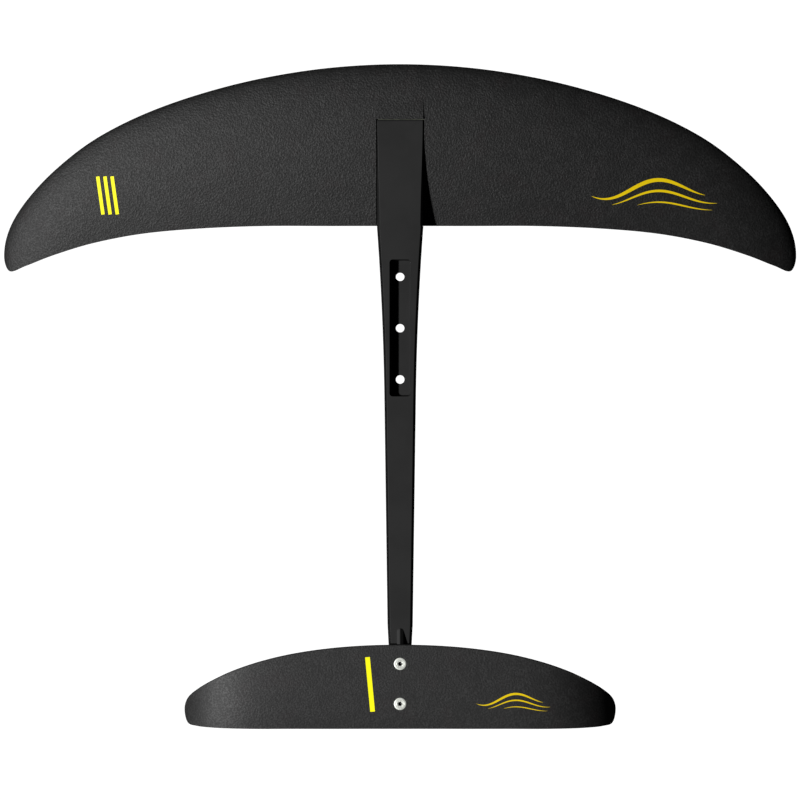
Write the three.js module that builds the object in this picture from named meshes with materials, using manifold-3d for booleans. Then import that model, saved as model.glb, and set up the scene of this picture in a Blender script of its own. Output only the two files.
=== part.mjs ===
// Hydrofoil mast wing: the front wing, fuselage and stabiliser that bolt to the foot of a
// hydrofoil's mast. Millimetres. +Z is up towards the board, -Y is the way it travels, and the
// origin is where the mast's middle screw meets the floor of the mast pocket.
import * as THREE from "three";
import { mergeVertices } from "three/addons/utils/BufferGeometryUtils.js";
import Module from "manifold-3d";

const wasm = await Module();
wasm.setup();

// Driving dimensions
const GAP = 0.3; // between pieces that touch
const EDGE = 0.55; // half thickness of the wings' blunt edges
const TOP = 9.4; // height of the fuselage's flat top above the pocket floor

const FUSELAGE = {
  front: -202.1, // front end of the tongue that lies in the front wing
  shoulder: -98.9, // where the tongue ends and the full-depth beam starts
  tail: 379,
  tongueFrontFloor: 0.4,
  tongueRearFloor: -6.2,
  tongueWidth: [45, 44.5],
  fillet: 0.3,
  rowStep: 14,
};
const BELLY = [
  [-98.9, -8.4], [-84, -13], [-66, -17.3], [-40, -20], [0, -20.8], [50, -20.4],
  [110, -17.9], [200, -12.6], [290, -6.8], [335, -4], [366, -1.6], [379, -0.6],
];
// Floor of the mast pocket, whose walls lean out by the draft up to its mouth
const POCKET = { halfWidth: 9.4, halfLength: 65.6, corner: 2.2, draft: 1 };
const MAST_HOLES = { radius: 4.2, headRadius: 8.3, pitch: 50 };
const RIB = { front: 291.9, rear: 306.8, halfWidth: 2.9, height: 5.6 };
const SCREW = { shank: 3, head: 6, headHeight: 3.3, socket: 2.3, socketDepth: 2.2 };
const INSERT = { radius: 4.5, height: 7 };
const FRONT_SCREWS = [-190, -165, -140];
const STABILISER_SCREWS = [325.8, 364.7];
const SIDE_GAP = 0.55; // each side of the tongue in the front wing
const RAMP = { front: -221.4, halfWidth: 22.8, proud: 0.5 };
const SEAT = { front: 313, rear: 377, halfWidth: 14 };

const FRONT_WING = {
  halfSpan: 391.9,
  // Leading and trailing edge at every 10 degrees of span angle, from the middle to the tip
  leads: [-257.1, -253.7, -243.9, -228.7, -209.2, -185.1, -155.9, -126.5, -99.3, -72.5],
  trails: [-99.6, -99.6, -99.7, -97.5, -92.8, -84.1, -72.9, -62.5, -57.3, -72.5],
  thickness: 0.125,
  camber: 0.0243,
  trailHeight: -7.4,
  incidence: 0.025,
  skin: 1.4,
  blockHalf: 30,
  coreEnd: 315,
  coreChord: [0.06, 0.78],
};
const STABILISER = {
  halfSpan: 211.1,
  leads: [307.2, 308.1, 311.1, 316.2, 323.5, 332.5, 342.6, 352.3, 361.4, 372.3],
  trails: [389.2, 389.2, 389.3, 389.3, 389.5, 389.4, 389, 388.1, 385.3, 372.3],
  thickness: 0.09,
  top: TOP + GAP + 7.4, // height of its flat upper side in the middle
  fall: 0.174, // bends the upper side's rear part down
  skin: 1.1,
  blockHalf: 20,
  coreEnd: 150,
  coreChord: [0.16, 0.68],
};

const FINISH = {
  carbon: { color: 0x2b2b2c, roughness: 0.62, metalness: 0 },
  anodised: { color: 0x262627, roughness: 0.5, metalness: 0.35 },
  steel: { color: 0xc9ccc6, roughness: 0.3, metalness: 1 },
  foam: { color: 0xb9a878, roughness: 0.95, metalness: 0 },
  laminate: { color: 0x3d4034, roughness: 0.8, metalness: 0 },
};

const root = new THREE.Group();

// Adds one named piece to the object.
function add(name, solid, finish) {
  const material = new THREE.MeshStandardMaterial(FINISH[finish]);
  const mesh = new THREE.Mesh(geometryOf(solid), material);
  mesh.name = name;
  root.add(mesh);
}

// A closed geometry as a manifold-3d solid, with its faces turned outwards.
function solidOf(geometry) {
  const bare = geometry.clone();
  bare.deleteAttribute("normal");
  bare.deleteAttribute("uv");
  const merged = mergeVertices(bare, 1e-4);
  const triVerts = new Uint32Array(merged.index.array);
  const vertProperties = merged.attributes.position.array;
  const made = new wasm.Manifold(new wasm.Mesh({ numProp: 3, vertProperties, triVerts }));
  if (made.volume() > 0) return made;
  return new wasm.Manifold(
    new wasm.Mesh({ numProp: 3, vertProperties, triVerts: triVerts.reverse() }),
  );
}

function geometryOf(solid) {
  const mesh = solid.getMesh();
  return new THREE.BufferGeometry()
    .setAttribute("position", new THREE.BufferAttribute(mesh.vertProperties, 3))
    .setIndex(new THREE.BufferAttribute(mesh.triVerts, 1));
}

// Skins rings of equally many points into a closed solid. A ring runs out along one side of its
// section and back along the other, so its end cap is a ladder between the two sides.
function loft(rings) {
  const count = rings[0].length;
  const points = rings.flat();
  const faces = [];
  for (let r = 0; r + 1 < rings.length; r++) {
    for (let i = 0; i < count; i++) {
      const a = r * count + i;
      const b = r * count + ((i + 1) % count);
      faces.push(a, b, b + count, a, b + count, a + count);
    }
  }
  const last = (rings.length - 1) * count;
  for (let i = 0; i + 1 < count / 2; i++) {
    const far = count - 1 - i;
    faces.push(i, far, i + 1, i + 1, far, far - 1);
    faces.push(last + i, last + i + 1, last + far, last + i + 1, last + far - 1, last + far);
  }
  const geometry = new THREE.BufferGeometry().setFromPoints(points).setIndex(faces);
  return solidOf(geometry);
}

function spread(from, to, steps) {
  return Array.from({ length: steps + 1 }, (_, i) => from + ((to - from) * i) / steps);
}

// ---- Wing outlines and sections ----

// Reads an outline's table at span x. The span angle is 0 in the middle and 90 degrees at the tip,
// which keeps the tip round, and the table runs smoothly through its values.
function outline(table, halfSpan, x) {
  const steps = table.length - 1;
  const angle = Math.asin(Math.min(Math.abs(x) / halfSpan, 1));
  const at = (angle / (Math.PI / 2)) * steps;
  const i = Math.min(Math.floor(at), steps - 1);
  const t = at - i;
  const before = table[Math.abs(i - 1)];
  const after = i + 2 > steps ? 2 * table[steps] - table[steps - 1] : table[i + 2];
  const bend = 2 * before - 5 * table[i] + 4 * table[i + 1] - after;
  const twist = 3 * (table[i] - table[i + 1]) + after - before;
  return table[i] + 0.5 * t * (table[i + 1] - before + t * (bend + t * twist));
}

const leading = (wing, x) => outline(wing.leads, wing.halfSpan, x);
const trailing = (wing, x) => outline(wing.trails, wing.halfSpan, x);

FRONT_WING.droop = (x) => {
  const u = Math.abs(x) / FRONT_WING.halfSpan;
  return 49.3 * u ** 2.11 + 16.9 * u ** 12;
};
FRONT_WING.middle = (x, y, chord) => {
  const line = FRONT_WING.camber * chord * 4 * y * (1 - y);
  const tilt = FRONT_WING.incidence * chord * (1 - y);
  return FRONT_WING.trailHeight + tilt + line - FRONT_WING.droop(x);
};

STABILISER.droop = (x) => {
  const u = Math.abs(x) / STABILISER.halfSpan;
  return 6.9 * u ** 2 + 36.8 * u ** 8.36;
};
// A nearly flat upper side over a curved belly, so that it pulls the tail down.
STABILISER.middle = (x, y, chord) => {
  const half = Math.max(halfThickness(STABILISER, y, chord), EDGE);
  const fall = STABILISER.fall * chord * Math.max(y - 0.4, 0) ** 2;
  const nose = 0.6 * Math.max(1 - y / 0.02, 0) ** 2;
  return STABILISER.top - half - fall - nose - STABILISER.droop(x);
};

// Half thickness of a streamlined section, y from 0 at the leading edge to 1 at the trailing edge.
function halfThickness(wing, y, chord) {
  const shape =
    0.2969 * Math.sqrt(y) - 0.126 * y - 0.3516 * y ** 2 + 0.2843 * y ** 3 - 0.1036 * y ** 4;
  return 5 * wing.thickness * chord * shape;
}

// A point at span x and chord share y, lifted off the section's middle line by a rule of its
// half thickness.
function wingPoint(wing, x, y, lift) {
  const lead = leading(wing, x);
  const chord = trailing(wing, x) - lead;
  const half = halfThickness(wing, y, chord);
  return new THREE.Vector3(x, lead + y * chord, wing.middle(x, y, chord) + lift(half));
}

// Height of a wing's surface over a point of the centre line, side 1 above and -1 below.
function surfaceAt(wing, along, side) {
  const y = (along - wing.leads[0]) / (wing.trails[0] - wing.leads[0]);
  return wingPoint(wing, 0, y, (half) => side * half).z;
}

// Section ring between two lift rules, out along the first and back along the second.
function sectionRing(wing, x, chordShares, outer, inner) {
  const out = chordShares.map((y) => wingPoint(wing, x, y, outer));
  const back = chordShares.map((y) => wingPoint(wing, x, y, inner)).reverse();
  return [...out, ...back];
}

// Chord shares crowded towards the leading edge, where the section curves most.
function chordShares(steps) {
  return spread(0, 1, steps).map((t) => t ** 1.8);
}

// Span stations from tip to tip, closer together towards the tips.
function spanStations(wing, steps) {
  return spread(-1, 1, steps).map((t) => wing.halfSpan * 0.9987 * Math.sin((Math.PI / 2) * t));
}

// One half of a moulded skin: side 1 is the upper half and -1 the lower.
function skin(wing, side, spanSteps, chordSteps) {
  const outer = (half) => side * Math.max(half, EDGE);
  const inner = (half) => side * Math.max(half - wing.skin, GAP / 2);
  const shares = chordShares(chordSteps);
  return loft(spanStations(wing, spanSteps).map((x) => sectionRing(wing, x, shares, outer, inner)));
}

// The filling between the skins from one span station to another.
function filling(wing, from, to, spanSteps, chordRange) {
  const lift = (side) => (half) => side * (half - wing.skin - GAP);
  const shares = spread(chordRange[0], chordRange[1], 8);
  const stations = spread(from, to, spanSteps);
  return loft(stations.map((x) => sectionRing(wing, x, shares, lift(1), lift(-1))));
}

// ---- Fasteners ----

function lathe(profile, steps = 16) {
  const points = profile.map(([radius, height]) => new THREE.Vector2(radius, height));
  return new THREE.LatheGeometry(points, steps).rotateX(Math.PI / 2);
}

// Countersunk screw with its head's face at the origin and its shank along -Z. A clearance makes
// the hole that it goes through.
function screwShape(length, clearance) {
  const { shank, head, headHeight } = SCREW;
  const above = clearance ? 6 : 0;
  return lathe([
    [0, above],
    [head + clearance, above],
    [head + clearance, -0.4],
    [shank + clearance, -headHeight - clearance],
    [shank + clearance, -length - clearance],
    [0, -length - clearance],
  ]);
}

// Stands a shape at a point of the centre line, facing up (1) or down (-1).
function placed(geometry, along, height, facing = 1) {
  if (facing < 0) geometry.rotateX(Math.PI);
  return solidOf(geometry.translate(0, along, height));
}

function screw(length, along, height, facing) {
  const socket = new THREE.CylinderGeometry(SCREW.socket, SCREW.socket, SCREW.socketDepth * 2, 6);
  const body = placed(screwShape(length, 0), along, height, facing);
  return body.subtract(placed(socket.rotateX(Math.PI / 2), along, height));
}

function screwHole(length, along, height, facing) {
  return placed(screwShape(length, GAP), along, height, facing);
}

// Thread insert, a plain sleeve between two heights.
function insert(along, bottom) {
  const bore = SCREW.shank + GAP;
  const profile = [
    [bore, 0],
    [INSERT.radius, 0],
    [INSERT.radius, INSERT.height],
    [bore, INSERT.height],
    [bore, 0],
  ];
  return placed(lathe(profile), along, bottom);
}

function insertHole(along, bottom, height) {
  const radius = INSERT.radius + GAP;
  return placed(lathe([[0, 0], [radius, 0], [radius, height], [0, height]]), along, bottom);
}

// ---- Fuselage ----

const bellyCurve = new THREE.SplineCurve(BELLY.map(([y, z]) => new THREE.Vector2(y, z)));

// Height of the beam's underside, read off the belly curve by halving.
function belly(along) {
  let low = 0;
  let high = 1;
  for (let i = 0; i < 30; i++) {
    const mid = (low + high) / 2;
    if (bellyCurve.getPoint(mid).x < along) low = mid;
    else high = mid;
  }
  return bellyCurve.getPoint(low).y;
}

// The tongue's sloping underside.
function tongueFloor(along) {
  const t = (along - FUSELAGE.front) / (FUSELAGE.shoulder - FUSELAGE.front);
  return THREE.MathUtils.lerp(FUSELAGE.tongueFrontFloor, FUSELAGE.tongueRearFloor, t);
}

function beamWidth(along) {
  const neck = Math.max(1 - (along + 96.9) / 165.5, 0);
  const tail = Math.max(along - 288, 0);
  return 29.6 - 0.028 * (along - 89.9) + 9.6 * neck ** 2 - 0.075 * tail;
}

// How far the sides lean out below the flat top.
function sideLean(along) {
  return 0.65 + 1.8 * THREE.MathUtils.smoothstep(along, FUSELAGE.front, FUSELAGE.shoulder);
}

// Section ring of the fuselage: a flat top, leaning sides and a hull below. A squareness near 0
// makes the hull a box, and 1 makes it an ellipse.
function hullRing(along, width, floor, squareness, keel) {
  const { fillet } = FUSELAGE;
  const half = width / 2;
  const crown = Math.max(half - sideLean(along), half * 0.6);
  const waist = TOP - 0.42 * (TOP - floor);
  const side = [
    [crown - fillet, TOP],
    [crown - 0.3 * fillet, TOP - 0.3 * fillet],
    [crown, TOP - fillet],
  ];
  for (const turn of spread(0, Math.PI / 2, 6)) {
    const x = keel + (half - keel) * Math.max(Math.cos(turn), 0) ** squareness;
    const z = waist - (waist - floor) * Math.sin(turn) ** squareness;
    side.push([x, z]);
  }
  const right = side.map(([x, z]) => new THREE.Vector3(x, along, z));
  const left = side.map(([x, z]) => new THREE.Vector3(-x, along, z)).reverse();
  return [...right, ...left];
}

function tongueRings() {
  const [frontWidth, rearWidth] = FUSELAGE.tongueWidth;
  return spread(0, 1, 5).map((t) => {
    const along = THREE.MathUtils.lerp(FUSELAGE.front, FUSELAGE.shoulder - GAP, t);
    const width = THREE.MathUtils.lerp(frontWidth, rearWidth, t);
    return hullRing(along, width, tongueFloor(along), 0.25, width / 2 - 2);
  });
}

function beamRings() {
  const roundFrom = 362;
  const steps = Math.round((roundFrom - FUSELAGE.shoulder) / FUSELAGE.rowStep);
  const rings = spread(FUSELAGE.shoulder, roundFrom, steps).map((along) => {
    const width = beamWidth(along);
    return hullRing(along, width, belly(along), 0.85, width * 0.14);
  });
  for (const turn of spread(Math.PI / 8, Math.PI / 2 - 0.12, 4)) {
    const along = roundFrom + (FUSELAGE.tail - roundFrom) * Math.sin(turn);
    const shrink = Math.cos(turn);
    const width = beamWidth(along) * (0.35 + 0.65 * shrink);
    const floor = TOP - (TOP - belly(along)) * (0.3 + 0.7 * shrink);
    rings.push(hullRing(along, width, floor, 0.85, width * 0.14));
  }
  return rings;
}

// Bullet-nosed rib that leads the water onto the stabiliser.
function rib() {
  const rings = [0, 0.06, 0.2, 0.5, 1].map((t) => {
    const along = THREE.MathUtils.lerp(RIB.front, RIB.rear, t);
    const half = RIB.halfWidth * Math.min(0.25 + 2.2 * Math.sqrt(t), 1);
    const height = 1 + (0.15 + 0.85 * t) * RIB.height;
    const side = spread(0, (Math.PI / 2) * 0.9, 5).map((turn) => [
      half * Math.cos(turn),
      TOP - 1 + height * Math.sin(turn),
    ]);
    const right = side.map(([x, z]) => new THREE.Vector3(x, along, z));
    const left = side.map(([x, z]) => new THREE.Vector3(-x, along, z)).reverse();
    return [...right, ...left];
  });
  return loft(rings);
}

// Room of the mast's foot, a rounded box with drafted walls.
function mastPocket() {
  const { halfWidth, halfLength, corner, draft } = POCKET;
  const rings = [0, TOP, TOP + 5].map((height) => {
    const grow = draft * Math.min(height / TOP, 1);
    const radius = corner + grow;
    const side = [-1, 1].flatMap((end) =>
      spread(end < 0 ? -Math.PI / 2 : 0, end < 0 ? 0 : Math.PI / 2, 4).map((turn) => [
        halfWidth - corner + radius * Math.cos(turn),
        end * (halfLength - corner) + radius * Math.sin(turn),
      ]),
    );
    const right = side.map(([x, y]) => new THREE.Vector3(x, y, height));
    const left = side.map(([x, y]) => new THREE.Vector3(-x, y, height)).reverse();
    return [...right, ...left];
  });
  return loft(rings);
}

// Through hole for a mast screw, countersunk from below.
function mastHole(along) {
  const { radius, headRadius } = MAST_HOLES;
  const floor = belly(along);
  const profile = [
    [0, floor - 5],
    [headRadius, floor - 5],
    [headRadius, floor + 0.8],
    [radius, floor + 0.8 + headRadius - radius],
    [radius, 5],
    [0, 5],
  ];
  return placed(lathe(profile, 24), along, 0);
}

function fuselage() {
  let made = loft([...tongueRings(), ...beamRings()]);
  made = made.add(rib()).subtract(mastPocket());
  for (const step of [-1, 0, 1]) made = made.subtract(mastHole(step * MAST_HOLES.pitch));
  for (const along of FRONT_SCREWS) {
    made = made.subtract(insertHole(along, tongueFloor(along) - 5, 5 + INSERT.height + 2 * GAP));
  }
  for (const along of STABILISER_SCREWS) {
    made = made.subtract(insertHole(along, TOP - INSERT.height - 2 * GAP, INSERT.height + 5));
  }
  return made;
}

// The room that the tongue takes in the front wing, open above and behind.
function tongueRoom() {
  const [frontWidth, rearWidth] = FUSELAGE.tongueWidth;
  const rings = [FUSELAGE.front - GAP, FUSELAGE.shoulder + 5].map((along, i) => {
    const half = (i ? rearWidth : frontWidth) / 2 + SIDE_GAP;
    const floor = tongueFloor(along) - GAP;
    return [
      [half, TOP + 8],
      [half, floor],
      [-half, floor],
      [-half, TOP + 8],
    ].map(([x, z]) => new THREE.Vector3(x, along, z));
  });
  return loft(rings);
}

// Moulded ramp that carries the fuselage's flat top forward onto the wing.
function ramp() {
  const rear = FUSELAGE.front - GAP;
  const rings = [RAMP.front, rear].map((along, i) => {
    const surface = surfaceAt(FRONT_WING, along, 1);
    const top = i ? TOP + RAMP.proud : surface - 0.02;
    const bottom = surface - 0.8;
    const half = RAMP.halfWidth;
    return [
      [half, top],
      [half, bottom],
      [-half, bottom],
      [-half, top],
    ].map(([x, z]) => new THREE.Vector3(x, along, z));
  });
  return loft(rings);
}

// ---- Front wing ----

function frontWing() {
  const { blockHalf, coreEnd, coreChord } = FRONT_WING;
  const room = tongueRoom();
  let lower = skin(FRONT_WING, -1, 36, 11);
  let block = filling(FRONT_WING, -blockHalf, blockHalf, 4, coreChord).subtract(room);
  FRONT_SCREWS.forEach((along, i) => {
    const face = surfaceAt(FRONT_WING, along, -1) + 0.1;
    const length = Math.round(tongueFloor(along) - face + INSERT.height - 1);
    const hole = screwHole(length, along, face, -1);
    lower = lower.subtract(hole);
    block = block.subtract(hole);
    add(`front_wing_screw_${i + 1}`, screw(length, along, face, -1), "steel");
    add(`front_thread_insert_${i + 1}`, insert(along, tongueFloor(along)), "steel");
  });
  const upper = skin(FRONT_WING, 1, 36, 11).subtract(room).add(ramp());
  add("front_wing_upper_skin", upper, "carbon");
  add("front_wing_lower_skin", lower, "carbon");
  add("front_wing_root_block", block, "laminate");
  const inside = blockHalf + 0.4;
  add("front_wing_core_left", filling(FRONT_WING, inside, coreEnd, 9, coreChord), "foam");
  add("front_wing_core_right", filling(FRONT_WING, -coreEnd, -inside, 9, coreChord), "foam");
}

// ---- Stabiliser ----

// Flat pad under the stabiliser that fills the room between its belly and the fuselage.
function seatPad() {
  const { front, rear, halfWidth: half } = SEAT;
  const rings = spread(front, rear, 6).map((along) => {
    const bottom = TOP + GAP;
    const top = Math.max(surfaceAt(STABILISER, along, -1) + 0.5, bottom + 0.4);
    return [
      [half, top],
      [half, bottom],
      [-half, bottom],
      [-half, top],
    ].map(([x, z]) => new THREE.Vector3(x, along, z));
  });
  return loft(rings);
}

function stabiliser() {
  const { blockHalf, coreEnd, coreChord } = STABILISER;
  let upper = skin(STABILISER, 1, 28, 9);
  let lower = skin(STABILISER, -1, 28, 9).add(seatPad());
  let block = filling(STABILISER, -blockHalf, blockHalf, 2, coreChord);
  const bottom = TOP - INSERT.height - GAP;
  STABILISER_SCREWS.forEach((along, i) => {
    const face = surfaceAt(STABILISER, along, 1);
    const length = Math.round(face - bottom - 1);
    const hole = screwHole(length, along, face, 1);
    upper = upper.subtract(hole);
    lower = lower.subtract(hole);
    block = block.subtract(hole);
    add(`stabiliser_screw_${i + 1}`, screw(length, along, face, 1), "steel");
    add(`stabiliser_thread_insert_${i + 1}`, insert(along, bottom), "steel");
  });
  add("stabiliser_upper_skin", upper, "carbon");
  add("stabiliser_lower_skin", lower, "carbon");
  add("stabiliser_root_block", block, "laminate");
  const inside = blockHalf + 0.4;
  add("stabiliser_core_left", filling(STABILISER, inside, coreEnd, 6, coreChord), "foam");
  add("stabiliser_core_right", filling(STABILISER, -coreEnd, -inside, 6, coreChord), "foam");
}

add("fuselage", fuselage(), "anodised");
frontWing();
stabiliser();

export default root;
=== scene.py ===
"""Looks of a hydrofoil wing set: front wing, fuselage and stabiliser on their CAD frame.

Lengths are in metres, in the frame's own axes: +Z is up towards the board, -Y is the way the
set travels and X runs along the span.
"""

import logging
import math
from dataclasses import dataclass, field
from enum import Enum
from functools import partial
from typing import Callable, Optional, Protocol, Sequence

import bmesh
import bpy
import numpy as np
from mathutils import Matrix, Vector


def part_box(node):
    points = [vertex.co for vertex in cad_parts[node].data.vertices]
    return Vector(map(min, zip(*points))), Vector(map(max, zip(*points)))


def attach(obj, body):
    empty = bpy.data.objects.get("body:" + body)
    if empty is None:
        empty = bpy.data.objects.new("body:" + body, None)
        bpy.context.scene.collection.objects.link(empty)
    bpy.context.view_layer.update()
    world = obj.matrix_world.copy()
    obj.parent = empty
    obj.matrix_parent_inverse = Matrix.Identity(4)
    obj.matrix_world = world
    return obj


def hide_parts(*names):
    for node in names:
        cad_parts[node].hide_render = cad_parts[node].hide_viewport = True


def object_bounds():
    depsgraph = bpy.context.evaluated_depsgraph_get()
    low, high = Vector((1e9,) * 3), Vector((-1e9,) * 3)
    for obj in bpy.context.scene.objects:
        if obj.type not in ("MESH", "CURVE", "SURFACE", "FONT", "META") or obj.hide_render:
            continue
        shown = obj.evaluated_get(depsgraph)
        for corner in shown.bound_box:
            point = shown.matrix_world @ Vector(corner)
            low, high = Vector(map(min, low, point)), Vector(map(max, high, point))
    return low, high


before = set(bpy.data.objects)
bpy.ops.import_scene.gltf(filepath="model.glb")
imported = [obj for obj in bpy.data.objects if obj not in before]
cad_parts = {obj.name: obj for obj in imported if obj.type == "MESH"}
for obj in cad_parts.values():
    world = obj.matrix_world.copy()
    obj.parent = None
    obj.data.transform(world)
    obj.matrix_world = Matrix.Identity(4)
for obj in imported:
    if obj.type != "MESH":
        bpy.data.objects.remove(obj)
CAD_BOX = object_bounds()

log = logging.getLogger("wing_set")

MM = 0.001
BODY = "root"
WELD = 0.002 * MM
SLIVER = 0.0001 * MM
QUARTER = math.pi / 2

Points = np.ndarray
Rule = Callable[[Points], Points]
Span = tuple[float, float]
Colour = tuple[float, float, float]
Faces = list[list[int]]
Solid = tuple[Points, Faces]
Piece = bpy.types.Object
Socket = bpy.types.NodeSocket


class Side(Enum):
    """Which half of a moulded wing a skin is."""

    UPPER = 1
    LOWER = -1


class Facing(Enum):
    """Which way a screw's head looks."""

    UP = 1
    DOWN = -1


# ---------------------------------------------------------------- numbers


def smoothstep(value: Points, start: float, end: float) -> Points:
    """Eases from 0 at start to 1 at end.

    Args:
        value: The numbers to ease.
        start: Where the result leaves 0.
        end: Where the result reaches 1.

    Returns:
        The eased numbers.
    """
    t = np.clip((np.asarray(value, float) - start) / (end - start), 0, 1)
    return t * t * (3 - 2 * t)


def curve_through(row: Points, at: Points) -> Points:
    """Reads evenly spaced values with a smooth curve through them.

    Args:
        row: The values, with one more before and after them that only set the ends' slopes.
        at: Where to read, from 0 at the first value to 1 at the last.

    Returns:
        The value at each place.
    """
    steps = len(row) - 3
    place = np.clip(np.asarray(at, float), 0, 1) * steps
    i = np.minimum(place.astype(int), steps - 1)
    t = place - i
    before, here, there, after = row[i], row[i + 1], row[i + 2], row[i + 3]
    bend = 2 * before - 5 * here + 4 * there - after
    twist = 3 * (here - there) + after - before
    return here + 0.5 * t * (there - before + t * (bend + t * twist))


def mirrored_row(table: Sequence[float], at: Points) -> Points:
    """Reads a wing's edge, which leaves the middle of the span level.

    Args:
        table: Values at even steps of the span angle, from the middle to the tip.
        at: Span angle, from 0 in the middle to 1 at the tip.

    Returns:
        The value at each place.
    """
    return curve_through(np.array([table[1], *table, 2 * table[-1] - table[-2]]), at)


# ---------------------------------------------------------------- meshes


def new_piece(name: str, points: Points, faces: Sequence[Sequence[int]], crease: float = 35) -> Piece:
    """Makes a closed, smooth-shaded mesh object with its faces turned outwards.

    Args:
        name: The piece's name.
        points: Vertex positions, one row each.
        faces: Vertex numbers of each face.
        crease: Angle in degrees above which an edge stays sharp.

    Returns:
        The linked object.
    """
    mesh = bpy.data.meshes.new(name)
    mesh.from_pydata([tuple(p) for p in points], [], [tuple(f) for f in faces])
    clean_mesh(mesh, crease)
    piece = bpy.data.objects.new(name, mesh)
    bpy.context.scene.collection.objects.link(piece)
    return piece


def clean_mesh(mesh: bpy.types.Mesh, crease: float) -> None:
    """Merges doubled points, turns the faces outwards and sets the shading.

    Args:
        mesh: The mesh to clean in place.
        crease: Angle in degrees above which an edge stays sharp.
    """
    work = bmesh.new()
    work.from_mesh(mesh)
    bmesh.ops.remove_doubles(work, verts=work.verts, dist=WELD)
    bmesh.ops.dissolve_degenerate(work, edges=work.edges, dist=SLIVER)
    loose = [v for v in work.verts if not v.link_faces]
    bmesh.ops.delete(work, geom=loose, context="VERTS")
    bmesh.ops.recalc_face_normals(work, faces=work.faces)
    work.to_mesh(mesh)
    work.free()
    mesh.shade_smooth()
    mesh.set_sharp_from_angle(angle=math.radians(crease))


def shell_between(name: str, outer: Points, inner: Points, keep: Optional[Points] = None) -> Piece:
    """Closes the space between two grids of points into one thin solid.

    Args:
        name: The piece's name.
        outer: Grid of points of shape (columns, rows, 3).
        inner: The grid behind it, of the same shape.
        keep: Which cells of the grid the solid covers. All of them if left out.

    Returns:
        The linked object.
    """
    columns, rows = outer.shape[:2]
    if keep is None:
        keep = np.ones((columns - 1, rows - 1), bool)
    front = np.arange(columns * rows).reshape(columns, rows)
    back = front + columns * rows
    i, j = np.nonzero(keep)
    faces = [np.stack([front[i, j], front[i + 1, j], front[i + 1, j + 1], front[i, j + 1]], 1)]
    faces.append(np.stack([back[i, j], back[i, j + 1], back[i + 1, j + 1], back[i + 1, j]], 1))
    padded = np.pad(keep, 1)
    i, j = np.nonzero(padded[1:-1, 1:] != padded[1:-1, :-1])
    faces.append(np.stack([front[i, j], front[i + 1, j], back[i + 1, j], back[i, j]], 1))
    i, j = np.nonzero(padded[1:, 1:-1] != padded[:-1, 1:-1])
    faces.append(np.stack([front[i, j], front[i, j + 1], back[i, j + 1], back[i, j]], 1))
    points = np.concatenate([outer.reshape(-1, 3), inner.reshape(-1, 3)])
    return new_piece(name, points, np.concatenate(faces).tolist())


def tube_mesh(rings: Sequence[Points]) -> Solid:
    """Joins closed rings of equally many points into a solid with flat ends.

    Args:
        rings: The rings in order, each of shape (points, 3).

    Returns:
        The vertices and the faces.
    """
    count = len(rings[0])
    faces = []
    for r in range(len(rings) - 1):
        for i in range(count):
            a, b = r * count + i, r * count + (i + 1) % count
            faces.append([a, b, b + count, a + count])
    last = (len(rings) - 1) * count
    faces.append(list(range(count)))
    faces.append(list(range(last, last + count)))
    return np.concatenate(rings), faces


def turned_mesh(profile: Sequence[Span], steps: int = 64) -> Solid:
    """Turns a profile about the Z axis.

    Args:
        profile: Radius and height of each point. The ends are closed with flat discs.
        steps: How many points go round.

    Returns:
        The vertices and the faces.
    """
    turn = np.linspace(0, 2 * math.pi, steps, endpoint=False)
    rings = [
        np.stack([r * np.cos(turn), r * np.sin(turn), np.full(steps, z)], 1) for r, z in profile
    ]
    return tube_mesh(rings)


def joined(parts: Sequence[Solid]) -> Solid:
    """Puts several meshes' vertices and faces into one.

    Args:
        parts: The vertices and faces of each.

    Returns:
        All vertices and all faces.
    """
    points, faces, start = [], [], 0
    for part_points, part_faces in parts:
        points.append(part_points)
        faces += [[start + v for v in face] for face in part_faces]
        start += len(part_points)
    return np.concatenate(points), faces


def combined(piece: Piece, tool: Piece, operation: str, crease: float = 30) -> None:
    """Cuts a tool out of a piece, or joins it on, and removes the tool.

    Args:
        piece: The piece to change.
        tool: The closed mesh to cut or join with.
        operation: "DIFFERENCE" or "UNION".
        crease: Angle in degrees above which an edge stays sharp afterwards.
    """
    step = piece.modifiers.new(operation.lower(), "BOOLEAN")
    step.operation = operation
    step.object = tool
    step.solver = "EXACT"
    view = bpy.context.evaluated_depsgraph_get()
    made = bpy.data.meshes.new_from_object(piece.evaluated_get(view))
    piece.modifiers.clear()
    old, made.name = piece.data, piece.name
    piece.data = made
    bpy.data.meshes.remove(old)
    bpy.data.objects.remove(tool)
    clean_mesh(made, crease)


# ---------------------------------------------------------------- finishes


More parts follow.
